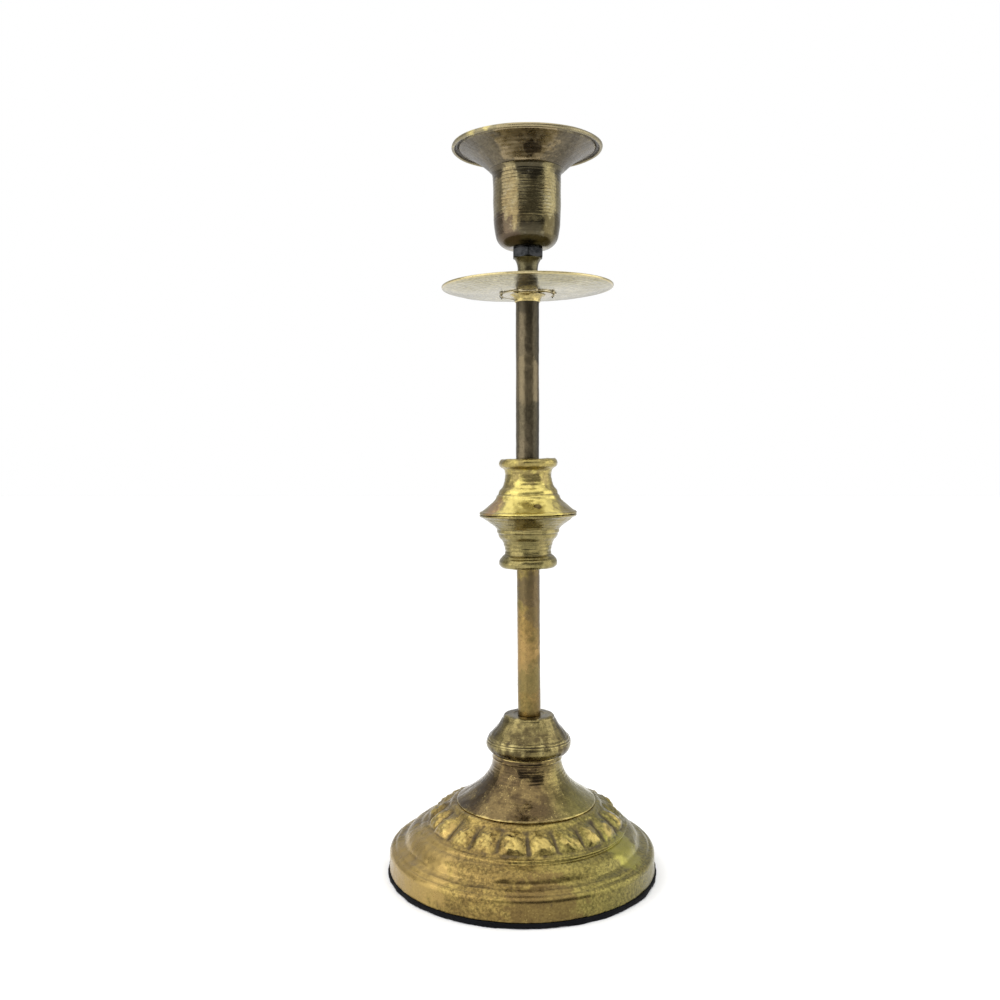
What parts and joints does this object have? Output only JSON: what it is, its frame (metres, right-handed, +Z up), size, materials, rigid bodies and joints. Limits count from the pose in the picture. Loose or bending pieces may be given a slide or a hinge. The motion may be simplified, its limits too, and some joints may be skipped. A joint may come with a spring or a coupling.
{
  "type": "altar candlestick",
  "caption": "Round-footed antiqued brass altar candlestick with gadrooned base, slender tube column, knop, drip pan and screw-on flared candle cup.",
  "frame": {"origin": "centre of the felt's underside, on the surface the candlestick stands on", "axes": "+Z up along the column, which stands 1.8 mm off the centre of the foot towards +X; one corner of the lock nut and the near side of the view face -Y"},
  "size_m": [0.094, 0.094, 0.2507],
  "materials": {
    "felt": "dense black-navy felt with a cut edge",
    "steel_sheet": "bare mild-steel sheet",
    "steel_zinc": "dull zinc plate",
    "steel_black": "blackened steel, worn bright on the corners",
    "brass_base": "antiqued spun brass, brown in the hollows, rubbed gold on the high points",
    "brass_cone": "antiqued spun brass, fine turning lines, speckled wear",
    "brass_knob": "antiqued cast brass, rubbed gold on the bead",
    "brass_tube_low": "warm tan-brown lacquered brass tube",
    "brass_knop": "bright yellow spun brass with brown stains",
    "brass_tube_high": "dark grey-olive patina on brass tube",
    "brass_pan": "pale polished brass under thin tarnish",
    "brass_neck": "dark olive patina on turned brass",
    "brass_cup": "dark grey-brown patina, turned rings rubbed light"
  },
  "bodies": {
    "stand": {"felt_pad": "felt", "base_plate": "steel_sheet", "base_shell": "brass_base", "base_cone": "brass_cone", "base_knob": "brass_knob", "clamp_washer": "steel_zinc", "spring_washer": "steel_zinc", "base_nut": "steel_zinc", "tie_rod": "steel_zinc", "lower_tube": "brass_tube_low", "knop_lower": "brass_knop", "knop_upper": "brass_knop", "knop_spacer": "steel_zinc", "upper_tube": "brass_tube_high", "pan_collar": "brass_pan", "pan_rosette": "brass_pan", "drip_pan": "brass_pan", "neck_spool": "brass_neck", "lock_nut": "steel_black"},
    "cup": {"cup_body": "brass_cup", "cup_bush": "brass_neck", "cup_dish": "brass_cup"}
  },
  "joints": [
    {"name": "cup_lift", "type": "slide", "parent": "stand", "child": "cup", "axis": [0, 0, 1], "range_m": [0, 0.02]}
  ]
}
